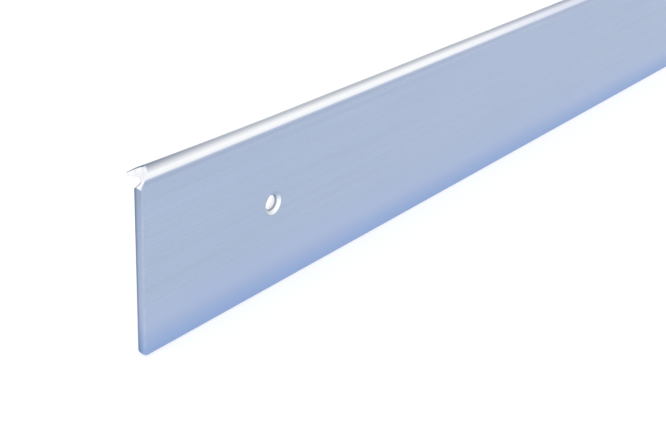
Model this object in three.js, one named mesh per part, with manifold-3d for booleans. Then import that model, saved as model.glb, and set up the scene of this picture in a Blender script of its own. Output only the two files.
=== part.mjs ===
// Threshold strip: a flat carrier with countersunk screw holes, and on its top edge a bright nose profile, whose bead
// stands out to the front and whose thin lip reaches to the back.
//
// Frame, in millimetres: +X runs along the strip, +Y goes out of its back face, +Z is up. The origin is on the axis of
// the middle screw hole, in the plane of the back face. Sections are drawn with y = 0 on the back face and with heights
// counted from the bottom edge.

import * as THREE from "three";
import { mergeVertices } from "three/addons/utils/BufferGeometryUtils.js";
import Module from "manifold-3d";

const wasm = await Module();
wasm.setup();

// ---- driving dimensions ----
const LENGTH = 630;
const HEIGHT = 41;
const WEB_THICKNESS = 2;
const WEB_HEIGHT = 36;
const SEAM = 0.05; // closed seam between two pieces

const CORNER_RADIUS = 1.3; // bottom corners of the carrier, seen from the front

const HOLE_HEIGHT = HEIGHT / 2;
const HOLE_END_DISTANCE = 37.7;
const HOLE_COUNT = 3;
const HOLE_RADIUS = 1.7;
const MOUTH_RADIUS = 2.55; // of a 90 degree countersink for a 3 mm screw
const OVERSHOOT = 1; // how far a cutter stands out of the face that it cuts

const NOSE_REACH = 1.6; // how far the nose stands out in front of the carrier
const NOSE_RADIUS = 0.6;
const NOSE_CREST_ANGLE = 0.44 * Math.PI; // where the top runs into the nose's round
const FRONT_BEND = { y: -3.12, z: 38.55 }; // where the nose's front turns into the leaning neck
const NOSE_BELLY_HEIGHT = 39.5; // how far down the nose's front stays nearly upright
const NECK_FOOT = 0.25; // short upright stretch of the neck's front above the seam
const NOTCH_CENTRE = { y: -1.1, z: 38.02 };
const NOTCH_RADIUS = 0.6;
const LIP_REACH = 1.95; // how far the lip stands out behind the back face
const LIP_TIP_HEIGHT = 38.15;
const LIP_TIP_RADIUS = 0.2;
const LIP_UNDER_ANGLE = -0.6 * Math.PI; // where the lip's underside runs into its round tip
const LIP_OVER_ANGLE = 0.27 * Math.PI; // where the round tip runs into the top
const PARTING_BACK = { y: 2.2, z: 37.8 }; // back end of the plane that parts the nose's head from its neck
const TOP_CROWN = { y: -0.6, z: 40.1 }; // control point of the crowned top between nose and lip

const ARC_STEPS = 12;
const HOLE_SEGMENTS = 64;

// ---- helpers ----

// A point at an angle on a circle, in the section's plane.
function onCircle(centre, radius, angle) {
  return { y: centre.y + radius * Math.cos(angle), z: centre.z + radius * Math.sin(angle) };
}

// The angle, seen from the circle's centre, of the point where a line from `from` touches the circle. `side` is 1 or -1.
function tangentAngle(from, centre, radius, side) {
  const dy = from.y - centre.y;
  const dz = from.z - centre.z;
  return Math.atan2(dz, dy) + side * Math.acos(radius / Math.hypot(dy, dz));
}

// A section in the YZ plane, swept along X and centred on the strip's middle.
function sweepAlongStrip(section, length) {
  const geometry = new THREE.ExtrudeGeometry(section, {
    depth: length,
    bevelEnabled: false,
    curveSegments: ARC_STEPS,
  });
  const along = new THREE.Vector3(1, 0, 0);
  const back = new THREE.Vector3(0, 1, 0);
  const up = new THREE.Vector3(0, 0, 1);
  geometry.applyMatrix4(new THREE.Matrix4().makeBasis(back, up, along));
  return geometry.translate(-length / 2, 0, 0);
}

function toSolid(geometry) {
  const bare = geometry.clone();
  bare.deleteAttribute("normal");
  bare.deleteAttribute("uv");
  const merged = mergeVertices(bare, 1e-4);
  return new wasm.Manifold(
    new wasm.Mesh({
      numProp: 3,
      vertProperties: merged.attributes.position.array,
      triVerts: new Uint32Array(merged.index.array),
    }),
  );
}

function toGeometry(solid) {
  const mesh = solid.getMesh();
  const geometry = new THREE.BufferGeometry();
  geometry.setAttribute("position", new THREE.BufferAttribute(mesh.vertProperties, 3));
  geometry.setIndex(new THREE.BufferAttribute(mesh.triVerts, 1));
  const flat = geometry.toNonIndexed();
  flat.computeVertexNormals();
  return flat;
}

function namedMesh(name, geometry, material) {
  const mesh = new THREE.Mesh(geometry, material);
  mesh.name = name;
  return mesh;
}

// ---- carrier web ----

// A flat bar with a fully rounded bottom edge.
function webSection() {
  const radius = WEB_THICKNESS / 2;
  const section = new THREE.Shape();
  section.moveTo(0, WEB_HEIGHT);
  section.lineTo(-WEB_THICKNESS, WEB_HEIGHT);
  section.lineTo(-WEB_THICKNESS, radius);
  section.absarc(-radius, radius, radius, Math.PI, 2 * Math.PI, false);
  section.closePath();
  return section;
}

// The carrier's front outline, with its two bottom corners rounded, as a block to intersect with.
function cornerBlock() {
  const half = LENGTH / 2;
  const outline = new THREE.Shape();
  outline.moveTo(-half, WEB_HEIGHT + OVERSHOOT);
  outline.lineTo(-half, CORNER_RADIUS);
  outline.absarc(-half + CORNER_RADIUS, CORNER_RADIUS, CORNER_RADIUS, Math.PI, 1.5 * Math.PI, false);
  outline.absarc(half - CORNER_RADIUS, CORNER_RADIUS, CORNER_RADIUS, 1.5 * Math.PI, 2 * Math.PI, false);
  outline.lineTo(half, WEB_HEIGHT + OVERSHOOT);
  outline.closePath();
  const block = new THREE.ExtrudeGeometry(outline, {
    depth: WEB_THICKNESS + 2 * OVERSHOOT,
    bevelEnabled: false,
    curveSegments: ARC_STEPS,
  });
  block.rotateX(Math.PI / 2);
  return block.translate(0, OVERSHOOT, 0);
}

// What a countersinking drill takes away: a cylinder from the back, and a 90 degree cone open to the front.
function countersinkCutter(x) {
  const front = -WEB_THICKNESS;
  const coneDepth = MOUTH_RADIUS - HOLE_RADIUS;
  const profile = [
    new THREE.Vector2(0, front - OVERSHOOT),
    new THREE.Vector2(MOUTH_RADIUS + OVERSHOOT, front - OVERSHOOT),
    new THREE.Vector2(HOLE_RADIUS, front + coneDepth),
    new THREE.Vector2(HOLE_RADIUS, OVERSHOOT),
    new THREE.Vector2(0, OVERSHOOT),
  ];
  return new THREE.LatheGeometry(profile, HOLE_SEGMENTS).translate(x, 0, HOLE_HEIGHT);
}

function holePositions() {
  const first = -LENGTH / 2 + HOLE_END_DISTANCE;
  const spacing = (LENGTH - 2 * HOLE_END_DISTANCE) / (HOLE_COUNT - 1);
  return Array.from({ length: HOLE_COUNT }, (_, index) => first + index * spacing);
}

function carrierWeb() {
  let solid = toSolid(sweepAlongStrip(webSection(), LENGTH)).intersect(toSolid(cornerBlock()));
  for (const x of holePositions()) {
    solid = solid.subtract(toSolid(countersinkCutter(x)));
  }
  const satin = new THREE.MeshStandardMaterial({ color: 0xacbbd5, roughness: 0.5, metalness: 0.35 });
  return namedMesh("carrier_web", toGeometry(solid), satin);
}

// ---- nose profile: leaning neck, and head with bead and back lip ----

// Round the outline: up the back of the neck, round the notch, out along the lip's underside, round its tip, over the
// crowned top to the nose, and down the nose's front and the leaning neck.
function noseSection() {
  const foot = WEB_HEIGHT + SEAM;
  const tip = { y: LIP_REACH - LIP_TIP_RADIUS, z: LIP_TIP_HEIGHT };
  const nose = { y: -WEB_THICKNESS - NOSE_REACH + NOSE_RADIUS, z: HEIGHT - NOSE_RADIUS };

  const notchStart = tangentAngle({ y: 0, z: foot }, NOTCH_CENTRE, NOTCH_RADIUS, -1);
  const under = onCircle(tip, LIP_TIP_RADIUS, LIP_UNDER_ANGLE);
  const notchEnd = tangentAngle(under, NOTCH_CENTRE, NOTCH_RADIUS, 1);
  const crest = onCircle(nose, NOSE_RADIUS, NOSE_CREST_ANGLE);
  const notchPoint = onCircle(NOTCH_CENTRE, NOTCH_RADIUS, notchStart);

  const section = new THREE.Shape();
  section.moveTo(-WEB_THICKNESS, foot);
  section.lineTo(0, foot);
  section.lineTo(notchPoint.y, notchPoint.z);
  section.absarc(NOTCH_CENTRE.y, NOTCH_CENTRE.z, NOTCH_RADIUS, notchStart, notchEnd, true);
  section.lineTo(under.y, under.z);
  section.absarc(tip.y, tip.z, LIP_TIP_RADIUS, LIP_UNDER_ANGLE, LIP_OVER_ANGLE, false);
  section.quadraticCurveTo(TOP_CROWN.y, TOP_CROWN.z, crest.y, crest.z);
  section.absarc(nose.y, nose.z, NOSE_RADIUS, NOSE_CREST_ANGLE, Math.PI, false);
  section.quadraticCurveTo(nose.y - NOSE_RADIUS, NOSE_BELLY_HEIGHT, FRONT_BEND.y, FRONT_BEND.z);
  section.lineTo(-WEB_THICKNESS, foot + NECK_FOOT);
  section.closePath();
  return section;
}

// Everything under the parting plane, which runs from the bend in front to just under the lip's tip behind. `rise` lifts
// the plane.
function neckSpace(rise) {
  const front = -WEB_THICKNESS - NOSE_REACH - OVERSHOOT;
  const space = new THREE.Shape();
  space.moveTo(front, WEB_HEIGHT);
  space.lineTo(PARTING_BACK.y, WEB_HEIGHT);
  space.lineTo(PARTING_BACK.y, PARTING_BACK.z + rise);
  space.lineTo(FRONT_BEND.y, FRONT_BEND.z + rise);
  space.lineTo(front, FRONT_BEND.z + rise);
  space.closePath();
  return toSolid(sweepAlongStrip(space, LENGTH + 2 * OVERSHOOT));
}

// The profile is parted where the neck runs into the head, so that both parts are nearly convex and the board's seat
// under the lip stays open.
function noseParts() {
  const profile = toSolid(sweepAlongStrip(noseSection(), LENGTH));
  const neck = profile.intersect(neckSpace(-SEAM / 2));
  const head = profile.subtract(neckSpace(SEAM / 2));
  const bright = new THREE.MeshStandardMaterial({ color: 0xe9edf5, roughness: 0.25, metalness: 0.6 });
  return [
    namedMesh("nose_neck", toGeometry(neck), bright),
    namedMesh("nose_lip", toGeometry(head), bright.clone()),
  ];
}

// ---- assembly ----
const strip = new THREE.Group();
strip.name = "threshold_strip";
strip.position.z = -HOLE_HEIGHT;
strip.add(carrierWeb(), ...noseParts());

export default strip;
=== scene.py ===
import math
from collections import namedtuple

import bmesh
import bpy
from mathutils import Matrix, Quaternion, Vector


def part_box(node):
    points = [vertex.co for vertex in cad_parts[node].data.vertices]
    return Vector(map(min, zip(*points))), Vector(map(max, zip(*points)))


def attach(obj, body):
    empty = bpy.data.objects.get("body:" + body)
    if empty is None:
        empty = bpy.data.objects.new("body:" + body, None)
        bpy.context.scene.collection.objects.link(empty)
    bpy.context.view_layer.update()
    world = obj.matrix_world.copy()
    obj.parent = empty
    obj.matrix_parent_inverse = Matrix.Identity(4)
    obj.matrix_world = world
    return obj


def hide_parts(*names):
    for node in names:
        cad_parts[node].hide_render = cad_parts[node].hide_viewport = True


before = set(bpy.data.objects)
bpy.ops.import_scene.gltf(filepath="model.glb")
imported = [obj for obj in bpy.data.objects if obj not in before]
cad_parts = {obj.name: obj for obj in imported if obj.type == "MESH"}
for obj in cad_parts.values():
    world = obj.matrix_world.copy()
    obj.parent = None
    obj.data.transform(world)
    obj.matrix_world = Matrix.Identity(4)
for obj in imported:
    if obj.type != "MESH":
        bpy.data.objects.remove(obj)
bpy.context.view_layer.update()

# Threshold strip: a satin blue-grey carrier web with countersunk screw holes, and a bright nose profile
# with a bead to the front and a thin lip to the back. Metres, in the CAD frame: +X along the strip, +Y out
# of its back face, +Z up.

MM = 0.001
FULL_TURN = 2 * math.pi

# ---- places taken from the frame ----
web_low, web_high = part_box("carrier_web")
neck_low, neck_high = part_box("nose_neck")
lip_low, lip_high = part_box("nose_lip")

LEFT, RIGHT = web_low.x, web_high.x
FRONT, BACK = web_low.y, web_high.y
BOTTOM, WEB_TOP = web_low.z, web_high.z
NOSE_FRONT, LIP_BACK = lip_low.y, lip_high.y
TOP = lip_high.z
FOOT = WEB_TOP + 0.005 * MM  # the joined pieces show a hairline, not a gap

# ---- driving sizes of the fine shapes ----
CORNER_RADIUS = 1.3 * MM
HOLE_RADIUS = 1.7 * MM
MOUTH_RADIUS = 2.55 * MM
HOLE_END_DISTANCE = 37.7 * MM
HOLE_COUNT = 3

NOSE_RADIUS = 0.6 * MM
NOSE_CREST_ANGLE = 0.39 * math.pi
TIP_RADIUS = 0.2 * MM
LIP_UNDER_ANGLE = -0.6 * math.pi
LIP_OVER_ANGLE = 0.27 * math.pi
NOTCH_RADIUS = 0.6 * MM
NECK_FOOT = 0.3 * MM

TIP = Vector((LIP_BACK - TIP_RADIUS, lip_low.z + TIP_RADIUS))
NOSE = Vector((NOSE_FRONT + NOSE_RADIUS, TOP - NOSE_RADIUS))
NOTCH = Vector((BACK - 1.1 * MM, WEB_TOP + 2.02 * MM))
BEND = Vector((FRONT - 1.12 * MM, TOP - 2.45 * MM))  # where the bead's front turns into the leaning neck
BELLY = Vector((NOSE_FRONT, TOP - 1.5 * MM))
CROWN = Vector((BACK - 0.6 * MM, TOP - 0.9 * MM))

# Deburred edges of the web's sawn ends.
END_FRONT_ROUND = 0.12 * MM
END_BACK_ROUND = 0.15 * MM
END_TOP_ROUND = 0.03 * MM
CORNER_SHADE_HEIGHT = 12 * MM  # how far up the end the painted shade beside its bottom corner reaches

# Deburred edges of the nose's sawn ends.
THIN_ROUND = 0.08 * MM
TIP_ROUND = 0.06 * MM
TOP_ROUND = 0.28 * MM
NECK_ROUND = 0.25 * MM
CROWN_SWELL = 0.4  # how soon the top's round widens from the lip's tip
RIM_FADE = 0.03 * MM  # how far the rim's painted shade line reaches onto the flat end
SHARP_ANGLE = math.radians(28)  # steeper edges are shaded sharp

RIM_ROUND = 0.08 * MM  # broken edges of the screw holes
JUNCTION_WIDTH = 0.34 * MM  # ring of painted shade where the countersink meets the bore
EDGE_MARGIN = 0.35 * MM  # how far wear fades in from an edge

# The saw has bent the nose's thin top up at the ends.
END_LIFT = 0.52 * MM
TIP_LIFT_SHARE = 0.65  # at the lip's tip
FRONT_LIFT_SHARE = 0.35  # where the nose's round ends in front
LIFT_LENGTH = 45 * MM
LIFT_STEPS = 9

# ---- painted light and shade, as tones: shares of the finish's colour ----
# Web: painted shade across the sawn end's thickness from the front, with a painted highlight at the front
# corner: (share, tone above, tone beside the bottom corner).
END_TONES = ((0.05, 1.0, 1.08), (0.35, 0.95, 0.86), (0.6, 0.92, 0.7), (0.8, 0.66, 0.58), (0.96, 0.43, 0.44))
DARK_EDGE = 0.36  # painted shade line along the back edges of the sawn ends
LOW_TONE_SHARE = 0.3  # how far the bottom edge stays clear of them

# Screw holes: painted light and shade round the countersinks.
MOUTH_TONE = 0.9
JUNCTION_TONE = 0.38
CONE_HIGH_TONE = 0.98
CONE_LOW_TONE = 0.66  # painted shade at the dark side of the countersink
CONE_DARK_ANGLE = math.radians(215)
CONE_SHADE_SATIN = 1.3  # how soon the countersink's upper side takes the satin colour as painted shade

# Nose: painted light and shade round its section from the neck's back over the top to the neck's front,
# dark at the lip's tip and bright on the bead.
NECK_LINE = 0.2  # painted shade lines on the end's rim, as the next three
END_LINE = 0.6
TIP_LINE = 0.34
DARK_LINE = 0.16
UNDER_LIP_TONE = 0.85
CROWN_TONE = 0.4
CREST_TONE = 0.46
NOSE_TONE = 0.88
# painted shade in the crease below the bead, and a painted highlight at the neck's foot
CREASE_TONE = 0.88
CREASE_FOOT_TONE = 1.05
LIFT_SHADE = 0.55  # how far painted shade darkens the lifted top at the very end
SHADE_LENGTH = 40 * MM  # how far along the strip that fades out
BEND_PAINTED_REFLECTION = 0.4  # how far the satin colour is painted on the bead's underside, as a painted reflection of the carrier
BEND_EASE = 10  # how late and how sharply it does so
NECK_EASE = 0.2  # the same for the neck below it, which takes the satin colour as painted shade at once

BELLY_STEPS = 6
NECK_STEPS = 5
ARC_STEPS = 14
ROUND_STEPS = 6
HOLE_SEGMENTS = 128


# ---- small geometry helpers ----
def arc(centre, radius, start, end, steps):
    """Points along a circular arc in a plane, both ends included."""
    angles = [start + (end - start) * k / steps for k in range(steps + 1)]
    return [centre + radius * Vector((math.cos(a), math.sin(a))) for a in angles]


def curve(start, control, end, steps):
    """Points along a quadratic curve, both ends included."""
    points = []
    for k in range(steps + 1):
        t = k / steps
        points.append(start * (1 - t) ** 2 + control * 2 * t * (1 - t) + end * t * t)
    return points


def between(pair, share):
    return pair[0] + (pair[1] - pair[0]) * share


def eased(share):
    return share * share * (3 - 2 * share)


def tangent_angle(point, centre, radius, side):
    """Angle, seen from the centre, at which a line from the point touches the circle."""
    away = point - centre
    return math.atan2(away.y, away.x) + side * math.acos(radius / away.length)


def outward_normals(outline):
    """Mitred outward normals of a closed outline that runs anticlockwise."""
    normals = []
    for k, here in enumerate(outline):
        before = (here - outline[k - 1]).normalized()
        after = (outline[(k + 1) % len(outline)] - here).normalized()
        total = Vector((before.y + after.y, -before.x - after.x))
        length = max(total.length, 1e-9)
        normals.append(total * (2 / length ** 2))
    return normals


def round_turns(steps):
    """(sine, cosine) pairs of a quarter turn, from a flat face round to the face beside it."""
    angles = [0.5 * math.pi * k / steps for k in range(steps + 1)]
    return [(math.sin(a), math.cos(a)) for a in angles]


class Builder:
    """Collects rings of points into one closed mesh.

    Each point carries its wear, its tone of painted light and shade, and its share of the satin colour
    (satin finish, or painted reflection and shade), and each face carries its zone.
    """

    def __init__(self, name):
        self.name = name
        self.mesh = bmesh.new()
        self.edge = self.mesh.verts.layers.float.new("edge")
        self.tone = self.mesh.verts.layers.float.new("tone")
        self.satin = self.mesh.verts.layers.float.new("satin")
        self.zone = self.mesh.faces.layers.float.new("zone")

    def ring(self, points, edge, tone=1.0, satin=0.0):
        verts = []
        for k, point in enumerate(points):
            vert = self.mesh.verts.new(point)
            vert[self.edge] = edge[k] if isinstance(edge, list) else edge
            vert[self.tone] = tone[k] if isinstance(tone, list) else tone
            vert[self.satin] = satin[k] if isinstance(satin, list) else satin
            verts.append(vert)
        return verts

    def face(self, verts, zone, smooth):
        made = self.mesh.faces.new(verts)
        made[self.zone] = zone
        made.smooth = smooth

    def band(self, ring_a, ring_b, zone, smooth=True):
        for k in range(len(ring_a)):
            n = (k + 1) % len(ring_a)
            value = zone[k] if isinstance(zone, list) else zone
            self.face((ring_a[k], ring_a[n], ring_b[n], ring_b[k]), value, smooth)

    def flat_cap(self, rings, zone, normal):
        """Fills the flat region between an outer ring and any inner ones."""
        edges = []
        for ring in rings:
            for k, vert in enumerate(ring):
                pair = (vert, ring[(k + 1) % len(ring)])
                edges.append(self.mesh.edges.get(pair) or self.mesh.edges.new(pair))
        filled = bmesh.ops.triangle_fill(
            self.mesh, edges=edges, use_beauty=True, use_dissolve=False, normal=normal
        )
        for item in filled["geom"]:
            if isinstance(item, bmesh.types.BMFace):
                item[self.zone] = zone
                item.smooth = False

    def finish(self, material):
        bmesh.ops.recalc_face_normals(self.mesh, faces=self.mesh.faces)
        data = bpy.data.meshes.new(self.name)
        self.mesh.to_mesh(data)
        self.mesh.free()
        data.materials.append(material)
        piece = bpy.data.objects.new(self.name, data)
        bpy.context.scene.collection.objects.link(piece)
        return piece


# ---- zones, kept on the faces for the materials ----
PLAIN = 0.0
SAWN = 1.0
MACHINED = 2.0


# ---- carrier web ----
Edge = namedtuple("Edge", "place inward front back low burred")


def web_edge(place, inward, share, burred):
    """A point of the web's rim; `share` runs from 0 on a sawn end to 1 on the fully rounded bottom edge."""
    full_round = (BACK - FRONT) / 2
    low = eased(share)
    front = between((END_FRONT_ROUND, full_round), low)
    back = between((END_BACK_ROUND, full_round), low)
    return Edge(place, inward, front, back, low, burred)


def web_outline():
    """The web's rim seen from the front, anticlockwise from its top right corner."""
    drop = -END_TOP_ROUND / END_BACK_ROUND
    rims = [web_edge(Vector((RIGHT, WEB_TOP)), Vector((-1, drop)), 0, 0)]
    rims.append(web_edge(Vector((LEFT, WEB_TOP)), Vector((1, drop)), 0, 0))
    rims.append(web_edge(Vector((LEFT, BOTTOM + CORNER_SHADE_HEIGHT)), Vector((1, 0)), 0, 0))
    left = Vector((LEFT + CORNER_RADIUS, BOTTOM + CORNER_RADIUS))
    right = Vector((RIGHT - CORNER_RADIUS, BOTTOM + CORNER_RADIUS))
    for k, point in enumerate(arc(left, CORNER_RADIUS, math.pi, 1.5 * math.pi, ARC_STEPS)):
        rims.append(web_edge(point, (left - point) / CORNER_RADIUS, k / ARC_STEPS, 1))
    for k, point in enumerate(arc(right, CORNER_RADIUS, 1.5 * math.pi, FULL_TURN, ARC_STEPS)):
        rims.append(web_edge(point, (right - point) / CORNER_RADIUS, 1 - k / ARC_STEPS, 1))
    rims.append(web_edge(Vector((RIGHT, BOTTOM + CORNER_SHADE_HEIGHT)), Vector((-1, 0)), 0, 0))
    return rims


Step = namedtuple("Step", "face along margin front back wear tones")


def rim_steps():
    """Steps from the front face over the rim to the back face; those between the two rounds have no face.

    `tones` holds painted shade: a plain tone and the one beside a shaded bottom corner.
    """
    turns = round_turns(ROUND_STEPS)
    even = (1, 1)
    steps = [Step(FRONT, 0, EDGE_MARGIN, 1, 0, 0, even)]
    for sine, cosine in turns:
        steps.append(Step(FRONT, 1 - cosine, 0, 1 - sine, 0, 1, even))
    for part, above, beside in END_TONES:
        steps.append(Step(None, part, 0, 0, 0, 0, (above, beside)))
    for sine, cosine in reversed(turns):
        steps.append(Step(BACK, cosine - 1, 0, 0, 1 - sine, 0, (DARK_EDGE, DARK_EDGE)))
    steps.append(Step(BACK, 0, EDGE_MARGIN, 0, 1, 0, even))
    return steps


def web_rings(build, outline):
    """Rings round the web's rim, from the front face over the edge to the back face."""
    rings = []
    for step in rim_steps():
        points = []
        tones = []
        wear = []
        for rim in outline:
            at = rim.place + rim.inward * (step.margin + rim.front * step.front + rim.back * step.back)
            if step.face is None:
                y = between((FRONT + rim.front, BACK - rim.back), step.along)
            else:
                y = step.face + step.along * (rim.front if step.face == FRONT else rim.back)
            # painted shade across the ends, darker beside the bottom corners and cleared towards the bottom
            # edge
            tone = between(step.tones, rim.burred)
            points.append((at.x, y, at.y))
            tones.append(tone + (1 - tone) * rim.low * LOW_TONE_SHARE)
            wear.append(step.wear * (1 - rim.low))
        rings.append(build.ring(points, wear, tones, 1.0))
    return rings


def hole_places():
    first = LEFT + HOLE_END_DISTANCE
    spacing = (RIGHT - LEFT - 2 * HOLE_END_DISTANCE) / (HOLE_COUNT - 1)
    return [first + k * spacing for k in range(HOLE_COUNT)]


def hole_profile():
    """From the front face through a hole to the back face.

    Each row is (radius, depth, wear, tone of painted shade, share of the countersink's painted light and
    shade, satin share, zone).
    """
    thickness = BACK - FRONT
    depth = MOUTH_RADIUS - HOLE_RADIUS
    soft = RIM_ROUND
    ring = JUNCTION_WIDTH
    return [
        (MOUTH_RADIUS + soft + EDGE_MARGIN, 0, 0, 1.0, 0, 1, PLAIN),
        (MOUTH_RADIUS + soft, 0, 0.3, MOUTH_TONE, 0, 1, PLAIN),
        (MOUTH_RADIUS + soft * 0.3, soft * 0.3, 0.3, MOUTH_TONE, 0.5, 1, MACHINED),
        (MOUTH_RADIUS - soft, soft, 0, 1.0, 1, 0, MACHINED),
        (HOLE_RADIUS + ring * 0.6, depth - ring * 0.6, 0, 1.0, 1, 0, MACHINED),
        (HOLE_RADIUS + ring * 0.3, depth - ring * 0.3, 0, JUNCTION_TONE, 1, 0, MACHINED),
        (HOLE_RADIUS, depth + soft * 0.3, 0, JUNCTION_TONE, 1, 0, MACHINED),
        (HOLE_RADIUS, depth + ring * 0.9, 0, JUNCTION_TONE, 1, 0, MACHINED),
        (HOLE_RADIUS, depth + ring * 1.3, 0, 1.0, 0, 0, MACHINED),
        (HOLE_RADIUS, thickness - soft * 2, 0, 1.0, 0, 0, MACHINED),
        (HOLE_RADIUS, thickness - soft, 0, 1.0, 0, 0, MACHINED),
        (HOLE_RADIUS + soft, thickness, 1, 1.0, 0, 1, PLAIN),
        (HOLE_RADIUS + soft + EDGE_MARGIN, thickness, 0, 1.0, 0, 1, PLAIN),
    ]


def cone_painted_shading(angle):
    """(tone, satin share) of painted light and shade round the countersink: bright bare metal below right,
    the satin colour painted above as shade, painted shade below left.
    """
    above = max(math.sin(angle), 0)
    dark = max(math.cos(angle - CONE_DARK_ANGLE), 0) ** 3
    return between((CONE_HIGH_TONE, CONE_LOW_TONE), dark), min(above * CONE_SHADE_SATIN, 1)


def hole_rings(build, x):
    angles = [FULL_TURN * k / HOLE_SEGMENTS for k in range(HOLE_SEGMENTS)]
    rings = []
    for radius, depth, edge, tone, painted, satin, _ in hole_profile():
        circle = [(x + radius * math.cos(a), FRONT + depth, radius * math.sin(a)) for a in angles]
        paint = [cone_painted_shading(a) for a in angles]
        tones = [tone * (1 + (p[0] - 1) * painted) for p in paint]
        shares = [max(satin, p[1] * painted) for p in paint]
        rings.append(build.ring(circle, edge, tones, shares))
    return rings


def rim_zones(outline):
    """SAWN along the two ends and round their bottom corners, PLAIN along the top and bottom."""
    count = len(outline)
    reach = ARC_STEPS + 3  # an end's corner arc, and the points above it
    return [SAWN if 0 < k < reach or k > count - reach else PLAIN for k in range(count)]


def carrier_web(material):
    build = Builder("carrier_web_finish")
    outline = web_outline()
    rings = web_rings(build, outline)
    ends = rim_zones(outline)
    for k in range(len(rings) - 1):
        flat = k in (0, len(rings) - 2)
        build.band(rings[k], rings[k + 1], PLAIN if flat else ends, smooth=not flat)
    walls = [hole_rings(build, x) for x in hole_places()]
    zones = [row[-1] for row in hole_profile()]
    for wall in walls:
        for k in range(len(wall) - 1):
            flat = k in (0, len(wall) - 2)
            build.band(wall[k], wall[k + 1], zones[k], smooth=not flat)
    build.flat_cap([rings[0]] + [wall[0] for wall in walls], PLAIN, (0, -1, 0))
    build.flat_cap([rings[-1]] + [wall[-1] for wall in walls], PLAIN, (0, 1, 0))
    return build.finish(material)


# ---- nose profile ----
Row = namedtuple("Row", "point tone end_tone satin end_round lift")


def nose_outline():
    """The profile's section, as rows all the way round."""
    rows = []

    def add(points, tone, satin=(0, 0), end_tone=None, end_round=(THIN_ROUND, THIN_ROUND),
            lift=(0, 0), ease=1, swell=1):
        """Each value runs from the first to the second of its pair; `ease` and `swell` bend that run."""
        last = max(len(points) - 1, 1)
        for k, point in enumerate(points):
            share = k / last
            row = Row(
                point=point,
                tone=between(tone, share),
                end_tone=between(end_tone or tone, share),
                satin=between(satin, share ** ease),
                end_round=between(end_round, share ** swell),
                lift=between(lift, eased(share)),
            )
            rows.append(row)

    foot_back = Vector((BACK, FOOT))
    under = TIP + TIP_RADIUS * Vector((math.cos(LIP_UNDER_ANGLE), math.sin(LIP_UNDER_ANGLE)))
    notch_start = tangent_angle(foot_back, NOTCH, NOTCH_RADIUS, -1)
    notch_end = tangent_angle(under, NOTCH, NOTCH_RADIUS, 1) - FULL_TURN
    notch = arc(NOTCH, NOTCH_RADIUS, notch_start, notch_end, ARC_STEPS)
    tip = arc(TIP, TIP_RADIUS, LIP_UNDER_ANGLE, LIP_OVER_ANGLE, ARC_STEPS)
    nose = arc(NOSE, NOSE_RADIUS, NOSE_CREST_ANGLE, math.pi, ARC_STEPS)
    crown = curve(tip[-1], CROWN, nose[0], 2 * ARC_STEPS)
    belly = curve(nose[-1], BELLY, BEND, 3 * BELLY_STEPS)
    neck_foot = Vector((FRONT, FOOT + NECK_FOOT))
    neck = curve(BEND, (BEND + neck_foot) / 2, neck_foot, 2 * NECK_STEPS)
    thick, thin, tiny = TOP_ROUND, THIN_ROUND, TIP_ROUND
    add([Vector((FRONT, FOOT))], (1, 1), satin=(1, 1))
    add([foot_back], (1, 1), end_tone=(NECK_LINE, NECK_LINE), end_round=(NECK_ROUND, NECK_ROUND))
    add(notch, (1, 1), end_tone=(NECK_LINE, END_LINE), end_round=(NECK_ROUND, tiny))
    add(tip[:-1], (UNDER_LIP_TONE, CROWN_TONE), end_tone=(END_LINE, TIP_LINE), end_round=(tiny, tiny),
        lift=(0, TIP_LIFT_SHARE))
    add(crown[:-1], (CROWN_TONE, CREST_TONE), end_tone=(TIP_LINE, DARK_LINE), end_round=(tiny, thick),
        lift=(TIP_LIFT_SHARE, 1), swell=CROWN_SWELL)
    add(nose[:-1], (CREST_TONE, NOSE_TONE), end_round=(thick, thin), lift=(1, FRONT_LIFT_SHARE))
    add(belly[:BELLY_STEPS], (NOSE_TONE, 1), lift=(FRONT_LIFT_SHARE, 0))
    add(belly[BELLY_STEPS:-1], (1, 1), satin=(0, BEND_PAINTED_REFLECTION), ease=BEND_EASE)
    add(neck[:NECK_STEPS], (1, CREASE_TONE), satin=(BEND_PAINTED_REFLECTION, 1), ease=NECK_EASE)
    add(neck[NECK_STEPS:], (CREASE_TONE, CREASE_FOOT_TONE), satin=(1, 1))
    return rows


def nose_section(rows, distance):
    """Outline and painted shade tones at a distance from the end, near which the thin top is bent up and
    darkened by painted shade.
    """
    fade = max(1 - distance / LIFT_LENGTH, 0) ** 2
    shade = LIFT_SHADE * max(1 - distance / SHADE_LENGTH, 0) ** 2
    outline = [row.point + Vector((0, END_LIFT * fade * row.lift)) for row in rows]
    tones = [row.tone * (1 - shade * row.lift) for row in rows]
    return outline, tones


def inset(outline, steps):
    """The outline drawn in by a step of its own at each point."""
    return [point - normal * step for point, normal, step in zip(outline, outward_normals(outline), steps)]


def nose_end(build, rows, end, inward):
    """Rings from the flat end face over its deburred rim to where the section runs on unchanged."""
    outline, tones = nose_section(rows, 0)
    satin = [row.satin for row in rows]
    core = inset(outline, [row.end_round + RIM_FADE for row in rows])
    made = [build.ring([(end, p.x, p.y) for p in core], 0.0)]
    for sine, cosine in round_turns(ROUND_STEPS):
        ring = inset(outline, [row.end_round * (1 - sine) for row in rows])
        places = [(end + inward * row.end_round * (1 - cosine), p.x, p.y) for row, p in zip(rows, ring)]
        # painted shade lines along the end's rim
        rim = [between((tone, row.end_tone), 1 - sine * sine) for row, tone in zip(rows, tones)]
        made.append(build.ring(places, 1.0, rim, satin))
    distances = [TOP_ROUND + EDGE_MARGIN] + [LIFT_LENGTH * (k + 1) / LIFT_STEPS for k in range(LIFT_STEPS)]
    for distance in distances:
        outline, tones = nose_section(rows, distance)
        made.append(build.ring([(end + inward * distance, p.x, p.y) for p in outline], 0.0, tones, satin))
    return made


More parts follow.
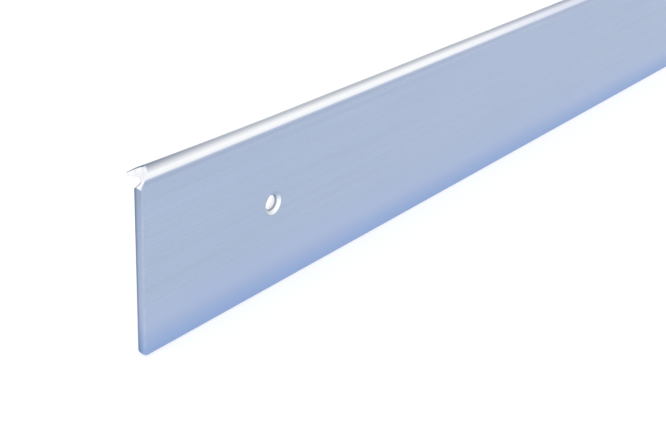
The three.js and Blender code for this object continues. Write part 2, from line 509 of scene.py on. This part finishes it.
def nose_lip(material):
    build = Builder("nose_lip_finish")
    rows = nose_outline()
    rings = nose_end(build, rows, LEFT, 1) + nose_end(build, rows, RIGHT, -1)[::-1]
    for k in range(len(rings) - 1):
        cut = k in (0, len(rings) - 2)
        build.band(rings[k], rings[k + 1], SAWN if cut else PLAIN)
    build.flat_cap([rings[0]], SAWN, (-1, 0, 0))
    build.flat_cap([rings[-1]], SAWN, (1, 0, 0))
    piece = build.finish(material)
    piece.data.set_sharp_from_angle(angle=SHARP_ANGLE)
    return piece


# ---- materials ----
class Nodes:
    """Short words for making a node tree."""

    def __init__(self, name):
        self.material = bpy.data.materials.new(name)
        self.material.use_nodes = True
        self.tree = self.material.node_tree
        self.shader = self.tree.nodes["Principled BSDF"]

    def add(self, kind, **settings):
        node = self.tree.nodes.new(kind)
        for key, value in settings.items():
            setattr(node, key, value)
        return node

    def link(self, source, target):
        self.tree.links.new(source, target)

    def place(self, scale):
        """Object coordinates, stretched."""
        where = self.add("ShaderNodeTexCoord")
        scaled = self.add("ShaderNodeMapping")
        scaled.inputs["Scale"].default_value = scale
        self.link(where.outputs["Object"], scaled.inputs["Vector"])
        return scaled.outputs["Vector"]

    def noise(self, scale, detail=2.0, roughness=0.5):
        node = self.add("ShaderNodeTexNoise")
        node.inputs["Scale"].default_value = 1.0
        node.inputs["Detail"].default_value = detail
        node.inputs["Roughness"].default_value = roughness
        self.link(self.place(scale), node.inputs["Vector"])
        return node.outputs["Fac"]

    def range(self, value, low, high, to_low, to_high, smooth=False):
        node = self.add("ShaderNodeMapRange")
        if smooth:
            node.interpolation_type = "SMOOTHSTEP"
        sockets = ("From Min", "From Max", "To Min", "To Max")
        for name, number in zip(sockets, (low, high, to_low, to_high)):
            node.inputs[name].default_value = number
        self.link(value, node.inputs["Value"])
        return node.outputs["Result"]

    def math(self, operation, a, b):
        node = self.add("ShaderNodeMath", operation=operation)
        for socket, value in zip(node.inputs, (a, b)):
            if isinstance(value, (int, float)):
                socket.default_value = value
            else:
                self.link(value, socket)
        return node.outputs[0]

    def attribute(self, name):
        return self.add("ShaderNodeAttribute", attribute_name=name).outputs["Fac"]

    def axis(self, letter):
        where = self.add("ShaderNodeTexCoord")
        parts = self.add("ShaderNodeSeparateXYZ")
        self.link(where.outputs["Object"], parts.inputs[0])
        return parts.outputs[letter]

    def mix(self, factor, a, b):
        node = self.add("ShaderNodeMix", data_type="RGBA")
        self.link(factor, node.inputs["Factor"])
        for socket, value in ((node.inputs[6], a), (node.inputs[7], b)):
            if isinstance(value, tuple):
                socket.default_value = (*value, 1)
            else:
                self.link(value, socket)
        return node.outputs[2]

    def bump(self, height, distance, strength, before=None):
        node = self.add("ShaderNodeBump")
        node.inputs["Distance"].default_value = distance
        node.inputs["Strength"].default_value = strength
        self.link(height, node.inputs["Height"])
        if before is not None:
            self.link(before, node.inputs["Normal"])
        return node.outputs["Normal"]

    def zone(self, number):
        """1 on the faces of one zone, else 0."""
        near = self.math("SUBTRACT", self.attribute("zone"), number)
        return self.math("LESS_THAN", self.math("ABSOLUTE", near, 0.0), 0.5)


SATIN_COLOUR = (0.374, 0.450, 0.604)
LOW_COLOUR = (0.374, 0.454, 0.635)
BLUE_COLOUR = (0.264, 0.375, 0.623)
BARE_COLOUR = (0.93, 0.94, 0.95)
BRIGHT_COLOUR = (0.885, 0.89, 0.895)
FAR_SHADE_COLOUR = (0.69, 0.715, 0.82)
SAWN_COLOUR = (0.66, 0.67, 0.78)
PAINTED_SHADE_COLOUR = (0.0, 0.055, 0.18)

# How the colours change over the strip, as (from, to) places: painted shade makes the web bluer towards its
# bottom edge and the nose greyer towards the far end.
LOW_TINT = (BOTTOM + 6.5 * MM, BOTTOM + 14 * MM)
BLUE_TINT = (BOTTOM + 1.2 * MM, BOTTOM + 7 * MM)
FAR_SHADE = (LEFT + 90 * MM, LEFT + 175 * MM)

# Noise scales along X, Y and Z, per metre: extrusion lines are long in X and fine across it.
SATIN_LINES = (14, 2600, 2600)
BRIGHT_LINES = (10, 3400, 3400)
GRAIN = (3800, 3800, 3800)
FINE_GRAIN = (5200, 5200, 5200)
SATIN_CLOUDS = (26, 60, 60)
BRIGHT_CLOUDS = (40, 90, 90)
END_CLOUDS = (700, 700, 700)
WEAR_PATCHES = (260, 400, 400)
SAW_STROKES = (900, 700, 9000)
TURNING_RINGS = (0, 24000, 0)

NOISE_SPAN = (0.3, 0.7)  # part of a noise's values that is stretched over the whole effect
WEAR_SPAN = (0.35, 0.65)
WEAR_AMOUNT = 0.1
CLOUD_SPAN = (0.35, 0.7)
CLOUD_AMOUNT = 0.7
SATIN_SPREAD = 0.08
BRIGHT_SPREAD = 0.012
SATIN_ROUGHNESS = (0.46, 0.54)
BRIGHT_ROUGHNESS = (0.26, 0.36)
SAWN_ROUGHNESS = 0.06  # added where the saw has cut
SATIN_METALLIC = 0.35
BRIGHT_METALLIC = 0.5
RELIEF = 0.3  # strength of the grain and the extrusion lines
CUT_RELIEF = 0.5
GRAIN_DEPTH = 0.008 * MM
SATIN_LINE_DEPTH = 0.01 * MM
BRIGHT_LINE_DEPTH = 0.006 * MM
CUT_DEPTH = 0.012 * MM


def shades(colour, spread):
    return tuple(c * (1 - spread) for c in colour), tuple(c * (1 + spread) for c in colour)


def painted_shading(n, colour):
    """Painted shade: the colour darkened to a cool shade where the mesh's tone is low."""
    return n.mix(n.attribute("tone"), PAINTED_SHADE_COLOUR, colour)


def satin_colour(n):
    lines = n.range(n.noise(SATIN_LINES, detail=3), *NOISE_SPAN, 0, 1)
    grain = n.range(n.noise(GRAIN, detail=2), *NOISE_SPAN, 0, 1)
    both = n.math("MULTIPLY", n.math("ADD", lines, grain), 0.5)
    colour = n.mix(both, *shades(SATIN_COLOUR, SATIN_SPREAD))
    # painted shade: the web turns bluer towards its bottom edge
    height = n.axis("Z")
    colour = n.mix(n.range(height, *LOW_TINT, 1, 0, smooth=True), colour, LOW_COLOUR)
    return n.mix(n.range(height, *BLUE_TINT, 1, 0), colour, BLUE_COLOUR)


def worn_and_highlit(n, colour):
    """Edges rubbed towards bare metal, in patches; on the web ends' front edges this also serves as a
    painted highlight.
    """
    patches = n.range(n.noise(WEAR_PATCHES, detail=4), *WEAR_SPAN, 0, WEAR_AMOUNT)
    return n.mix(n.math("MULTIPLY", n.attribute("edge"), patches), colour, BARE_COLOUR)


def sawn_tint(n, colour):
    """Sawn ends take a faint cool cloudiness."""
    clouds = n.range(n.noise(END_CLOUDS, detail=3), *CLOUD_SPAN, 0, CLOUD_AMOUNT)
    return n.mix(n.math("MULTIPLY", n.zone(SAWN), clouds), colour, SAWN_COLOUR)


def cut_marks(n, before):
    """Fine saw strokes across the ends, and turning rings down the countersinks."""
    strokes = n.math("MULTIPLY", n.zone(SAWN), n.noise(SAW_STROKES, detail=2))
    rings = n.math("MULTIPLY", n.zone(MACHINED), n.noise(TURNING_RINGS, detail=1))
    return n.bump(n.math("ADD", strokes, rings), CUT_DEPTH, CUT_RELIEF, before)


def roughness(n, span, clouds):
    """Cloudy roughness, a little coarser where the saw has cut."""
    cloudy = n.range(n.noise(clouds, detail=3), *NOISE_SPAN, *span)
    cut = n.math("MULTIPLY", n.zone(SAWN), SAWN_ROUGHNESS)
    n.link(n.math("ADD", cloudy, cut), n.shader.inputs["Roughness"])


def satin_material():
    n = Nodes("satin_web")
    # bare metal in the countersinks, with the satin colour painted on their upper side as shade
    colour = n.mix(n.attribute("satin"), BARE_COLOUR, satin_colour(n))
    n.link(painted_shading(n, worn_and_highlit(n, colour)), n.shader.inputs["Base Color"])
    roughness(n, SATIN_ROUGHNESS, SATIN_CLOUDS)
    n.shader.inputs["Metallic"].default_value = SATIN_METALLIC
    fine = n.bump(n.noise(FINE_GRAIN), GRAIN_DEPTH, RELIEF)
    lines = n.bump(n.noise(SATIN_LINES, detail=3), SATIN_LINE_DEPTH, RELIEF, fine)
    n.link(cut_marks(n, lines), n.shader.inputs["Normal"])
    return n.material


def bright_material():
    n = Nodes("bright_nose")
    lines = n.noise(BRIGHT_LINES, detail=3)
    colour = n.mix(n.range(lines, *NOISE_SPAN, 0, 1), *shades(BRIGHT_COLOUR, BRIGHT_SPREAD))
    # painted shade: the nose greys towards the strip's far end
    far_shade = n.range(n.axis("X"), *FAR_SHADE, 0, 1, smooth=True)
    colour = n.mix(far_shade, sawn_tint(n, colour), FAR_SHADE_COLOUR)
    # the satin colour laid on the bead's underside as a painted reflection of the carrier, and on the neck
    # as painted shade
    colour = n.mix(n.attribute("satin"), colour, satin_colour(n))
    n.link(painted_shading(n, worn_and_highlit(n, colour)), n.shader.inputs["Base Color"])
    roughness(n, BRIGHT_ROUGHNESS, BRIGHT_CLOUDS)
    n.shader.inputs["Metallic"].default_value = BRIGHT_METALLIC
    n.link(cut_marks(n, n.bump(lines, BRIGHT_LINE_DEPTH, RELIEF)), n.shader.inputs["Normal"])
    return n.material


# ---- stage ----
FLOOR_SIZE = 24.0
FLOOR_GREY = 0.45
FLOOR_ROUGHNESS = 0.9
FLOOR_GLOW = 0.64
SKY_COLOUR = (0.98, 0.99, 1)
SKY_DIM = 0.6  # away from the light
SKY_BRIGHT = 1.18  # towards the light
KEY_POWER = 0.2
KEY_WIDTH = math.radians(40)
LIGHT_FROM = Vector((-0.8, -0.6, 0.66))


def floor_material():
    n = Nodes("studio_floor")
    n.shader.inputs["Base Color"].default_value = (FLOOR_GREY, FLOOR_GREY, FLOOR_GREY, 1)
    n.shader.inputs["Roughness"].default_value = FLOOR_ROUGHNESS
    n.shader.inputs["Specular IOR Level"].default_value = 0.0
    n.shader.inputs["Emission Color"].default_value = (1, 1, 1, 1)
    n.shader.inputs["Emission Strength"].default_value = FLOOR_GLOW
    return n.material


def make_floor():
    data = bpy.data.meshes.new("floor")
    half = FLOOR_SIZE / 2
    corners = [(-half, -half), (half, -half), (half, half), (-half, half)]
    data.from_pydata([(x, y, BOTTOM) for x, y in corners], [], [(0, 1, 2, 3)])
    data.materials.append(floor_material())
    floor = bpy.data.objects.new("floor", data)
    bpy.context.scene.collection.objects.link(floor)


def make_world():
    """One broad soft light: the sky brightens smoothly towards the upper front left."""
    world = bpy.data.worlds.new("studio")
    world.use_nodes = True
    tree = world.node_tree
    background = tree.nodes["Background"]
    background.inputs["Color"].default_value = (*SKY_COLOUR, 1)
    where = tree.nodes.new("ShaderNodeTexCoord")
    towards = tree.nodes.new("ShaderNodeVectorMath")
    towards.operation = "DOT_PRODUCT"
    towards.inputs[1].default_value = LIGHT_FROM.normalized()
    level = tree.nodes.new("ShaderNodeMapRange")
    level.inputs["From Min"].default_value = -1
    level.inputs["To Min"].default_value = SKY_DIM
    level.inputs["To Max"].default_value = SKY_BRIGHT
    tree.links.new(where.outputs["Generated"], towards.inputs[0])
    tree.links.new(towards.outputs["Value"], level.inputs["Value"])
    tree.links.new(level.outputs["Result"], background.inputs["Strength"])
    bpy.context.scene.world = world


def make_lights():
    data = bpy.data.lights.new("key", "SUN")
    data.energy = KEY_POWER
    data.angle = KEY_WIDTH
    light = bpy.data.objects.new("key", data)
    light.rotation_mode = "QUATERNION"
    light.rotation_quaternion = (-LIGHT_FROM).to_track_quat("-Z", "Y")
    bpy.context.scene.collection.objects.link(light)


# ---- camera ----
VIEW_AZIMUTH = math.radians(-53.58)
VIEW_ELEVATION = math.radians(26.31)
VIEW_ROLL = math.radians(3.225)
VIEW_DISTANCE = 270 * MM
VIEW_LENS = 63.97
AIM = Vector((LEFT + 59.1 * MM, FRONT, BOTTOM + 8.5 * MM))


def make_camera():
    data = bpy.data.cameras.new("camera")
    data.lens = VIEW_LENS
    data.clip_start = 10 * MM
    data.clip_end = 50
    camera = bpy.data.objects.new("camera", data)
    level = math.cos(VIEW_ELEVATION)
    back = Vector(
        (math.sin(VIEW_AZIMUTH) * level, -math.cos(VIEW_AZIMUTH) * level, math.sin(VIEW_ELEVATION))
    )
    camera.location = AIM + back * VIEW_DISTANCE
    camera.rotation_mode = "QUATERNION"
    level_turn = (-back).to_track_quat("-Z", "Y")
    camera.rotation_quaternion = level_turn @ Quaternion((0, 0, 1), VIEW_ROLL)
    bpy.context.scene.collection.objects.link(camera)
    bpy.context.scene.camera = camera


# ---- assembly ----
web = carrier_web(satin_material())
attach(web, "root")
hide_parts("carrier_web")

nose = nose_lip(bright_material())
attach(nose, "root")
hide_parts("nose_neck", "nose_lip")

make_floor()
make_world()
make_lights()
make_camera()
bpy.context.scene.view_settings.view_transform = "Standard"
